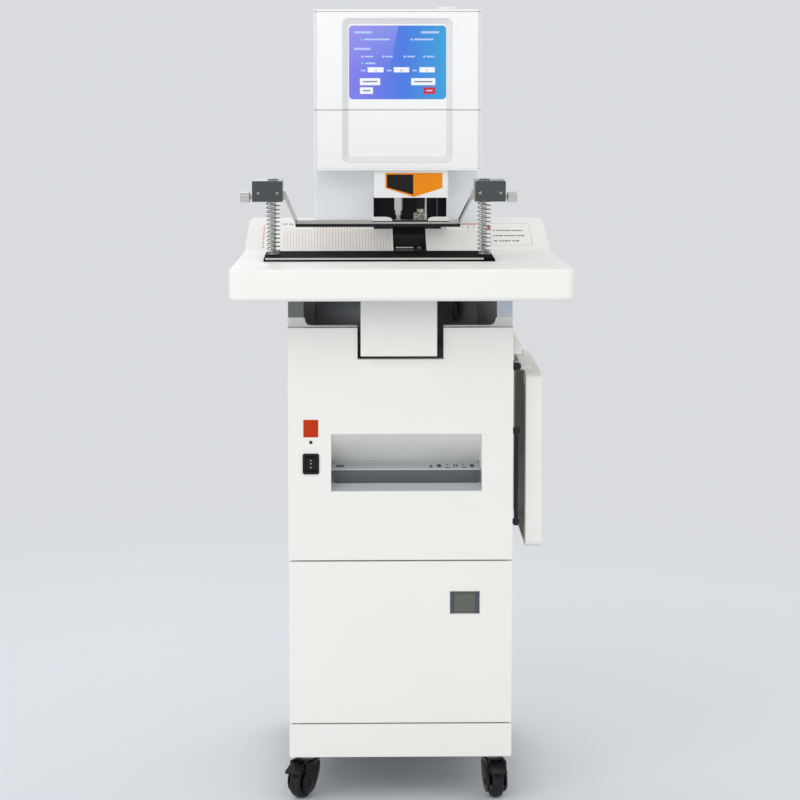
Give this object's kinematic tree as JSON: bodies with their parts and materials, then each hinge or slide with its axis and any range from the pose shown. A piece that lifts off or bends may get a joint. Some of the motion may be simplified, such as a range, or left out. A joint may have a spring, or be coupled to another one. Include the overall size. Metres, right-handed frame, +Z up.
{
  "type": "document riveting machine",
  "caption": "Floor-standing machine that drills a paper stack and rivets it with plastic tube, on a shredder cabinet with casters, a sprung presser and a folding side shelf.",
  "frame": {"origin": "on the floor under the middle of the whole machine's box", "axes": "+Z up, the touch screen and door face -Y, +X to the user's right"},
  "size_m": [0.5312, 0.59, 1.267],
  "materials": {
    "white_panel": "satin powder coat",
    "white_moulding": "satin moulded",
    "feed_moulding": "satin moulded, off-white above and blue grey at the throat",
    "grey_block": "satin anodised grey",
    "black_plate": "satin black",
    "plated_steel": "bright plated",
    "frame_steel": "grey zinc and primer",
    "tool_steel": "ground",
    "brass": "machined",
    "black_rubber": "matt",
    "wheel_tread": "moulded",
    "black_plastic": "moulded",
    "pull_metal": "satin",
    "screen": "gloss glass over a lit panel",
    "cable_jacket": "smooth"
  },
  "bodies": {
    "machine": {"cabinet_left_wall": "white_panel", "cabinet_right_wall": "white_panel", "cabinet_rear_panel": "white_panel", "upper_front_panel": "white_panel", "plinth_panel": "white_panel", "column_shell": "white_panel", "column_rear_cover": "white_panel", "table_top": "white_moulding", "head_lower_cover": "white_moulding", "head_upper_cover": "white_moulding", "head_top_plate": "white_moulding", "drill_housing": "white_moulding", "feed_recess": "feed_moulding", "press_base_plate": "black_plate", "anvil_block": "black_plate", "guide_posts": "plated_steel", "return_springs": "plated_steel", "shelf_hinge_rail": "plated_steel", "door_hardware": "plated_steel", "base_plate": "frame_steel", "shredder_frame": "frame_steel", "shredder_shelf": "frame_steel", "column_spine": "frame_steel", "table_frame": "frame_steel", "caster_mounts": "frame_steel", "lower_dies": "brass", "switch_body": "black_plastic", "waste_bin": "black_plastic", "shredder_motor": "black_plastic", "power_inlet": "black_plastic", "tube_inlet": "black_plastic", "indicator_lamp": "black_plastic", "touch_screen": "screen", "cable_loop": "cable_jacket"},
    "presser": {"presser_blocks": "grey_block", "presser_knobs": "plated_steel", "press_bar": "plated_steel", "press_pad": "black_rubber"},
    "drill_head": {"drill_carriage": "tool_steel"},
    "drill_spindle": {"hollow_drill": "plated_steel"},
    "rivet_ram": {"rivet_ram": "brass"},
    "chip_tray": {"chip_tray": "white_panel"},
    "door": {"lower_door": "white_panel", "pull_cup": "pull_metal"},
    "pull_flap": {"pull_flap": "pull_metal"},
    "rocker": {"power_rocker": "black_plastic"},
    "shelf": {"side_shelf": "white_moulding"},
    "struts": {"shelf_struts": "plated_steel"},
    "cutter_front": {"cutter_shaft_front": "tool_steel"},
    "cutter_rear": {"cutter_shaft_rear": "tool_steel"},
    "swivel_front_left": {"caster_fork_front_left": "black_plastic"},
    "wheel_front_left": {"caster_wheel_front_left": "wheel_tread"},
    "swivel_front_right": {"caster_fork_front_right": "black_plastic"},
    "wheel_front_right": {"caster_wheel_front_right": "wheel_tread"},
    "swivel_rear_left": {"caster_fork_rear_left": "black_plastic"},
    "wheel_rear_left": {"caster_wheel_rear_left": "wheel_tread"},
    "swivel_rear_right": {"caster_fork_rear_right": "black_plastic"},
    "wheel_rear_right": {"caster_wheel_rear_right": "wheel_tread"},
    "pedal_front_left": {"brake_pedal_front_left": "black_plastic"},
    "pedal_front_right": {"brake_pedal_front_right": "black_plastic"}
  },
  "joints": [
    {"name": "presser_travel", "type": "slide", "parent": "machine", "child": "presser", "axis": [0, 0, -1], "range_m": [0, 0.032], "stiffness_N_per_m": 900, "springref_m": -0.035, "deforming": ["return_springs"]},
    {"name": "drill_feed", "type": "slide", "parent": "machine", "child": "drill_head", "axis": [0, 0, -1], "range_m": [0, 0.037]},
    {"name": "drill_spin", "type": "hinge", "parent": "drill_head", "child": "drill_spindle", "pos_m": [0.002, 0.088, 0.95], "axis": [0, 0, 1], "continuous": true},
    {"name": "rivet_stroke", "type": "slide", "parent": "machine", "child": "rivet_ram", "axis": [0, 0, -1], "range_m": [0, 0.034]},
    {"name": "tray_pull", "type": "slide", "parent": "machine", "child": "chip_tray", "axis": [0, -1, 0], "range_m": [0, 0.25]},
    {"name": "door_swing", "type": "hinge", "parent": "machine", "child": "door", "pos_m": [-0.1705, -0.1785, 0.2575], "axis": [0, 0, -1], "range_deg": [0, 100]},
    {"name": "pull_flap_lift", "type": "hinge", "parent": "door", "child": "pull_flap", "pos_m": [0.1025, -0.1832, 0.336], "axis": [-1, 0, 0], "range_deg": [0, 45], "stiffness_Nm_per_rad": 0.02, "springref_deg": -22.92},
    {"name": "rocker_tilt", "type": "hinge", "parent": "machine", "child": "rocker", "pos_m": [-0.142, -0.181, 0.5465], "axis": [1, 0, 0], "range_deg": [0, 17]},
    {"name": "shelf_fold", "type": "hinge", "parent": "machine", "child": "shelf", "pos_m": [0.19, 0.017, 0.69], "axis": [0, -1, 0], "range_deg": [0, 90]},
    {"name": "strut_fold", "type": "hinge", "parent": "machine", "child": "struts", "pos_m": [0.188, 0.017, 0.589], "axis": [0, -1, 0], "range_deg": [0, 135]},
    {"name": "cutter_front_spin", "type": "hinge", "parent": "machine", "child": "cutter_front", "pos_m": [0.0095, -0.1525, 0.446], "axis": [1, 0, 0], "continuous": true},
    {"name": "cutter_rear_spin", "type": "hinge", "parent": "machine", "child": "cutter_rear", "pos_m": [0.0095, -0.1245, 0.446], "axis": [1, 0, 0], "continuous": true},
    {"name": "swivel_front_left", "type": "hinge", "parent": "machine", "child": "swivel_front_left", "pos_m": [-0.15, -0.15, 0.06], "axis": [0, 0, 1], "continuous": true},
    {"name": "roll_front_left", "type": "hinge", "parent": "swivel_front_left", "child": "wheel_front_left", "pos_m": [-0.159, -0.16559, 0.025], "axis": [0.866, -0.5, 0], "continuous": true},
    {"name": "brake_front_left", "type": "hinge", "parent": "swivel_front_left", "child": "pedal_front_left", "pos_m": [-0.162, -0.17078, 0.055], "axis": [0.866, -0.5, 0], "range_deg": [0, 11]},
    {"name": "swivel_front_right", "type": "hinge", "parent": "machine", "child": "swivel_front_right", "pos_m": [0.15, -0.15, 0.06], "axis": [0, 0, 1], "continuous": true},
    {"name": "roll_front_right", "type": "hinge", "parent": "swivel_front_right", "child": "wheel_front_right", "pos_m": [0.15313, -0.16773, 0.025], "axis": [0.9848, 0.1736, 0], "continuous": true},
    {"name": "brake_front_right", "type": "hinge", "parent": "swivel_front_right", "child": "pedal_front_right", "pos_m": [0.15417, -0.17364, 0.055], "axis": [0.9848, 0.1736, 0], "range_deg": [0, 11]},
    {"name": "swivel_rear_left", "type": "hinge", "parent": "machine", "child": "swivel_rear_left", "pos_m": [-0.15, 0.249, 0.06], "axis": [0, 0, 1], "continuous": true},
    {"name": "roll_rear_left", "type": "hinge", "parent": "swivel_rear_left", "child": "wheel_rear_left", "pos_m": [-0.14534, 0.26639, 0.025], "axis": [-0.9659, 0.2588, 0], "continuous": true},
    {"name": "swivel_rear_right", "type": "hinge", "parent": "machine", "child": "swivel_rear_right", "pos_m": [0.15, 0.249, 0.06], "axis": [0, 0, 1], "continuous": true},
    {"name": "roll_rear_right", "type": "hinge", "parent": "swivel_rear_right", "child": "wheel_rear_right", "pos_m": [0.14384, 0.26591, 0.025], "axis": [-0.9397, -0.342, 0], "continuous": true}
  ],
  "couplings": [
    {"joint": "strut_fold", "follows": "shelf_fold", "ratio": 1.5},
    {"joint": "cutter_rear_spin", "follows": "cutter_front_spin", "ratio": -1}
  ]
}
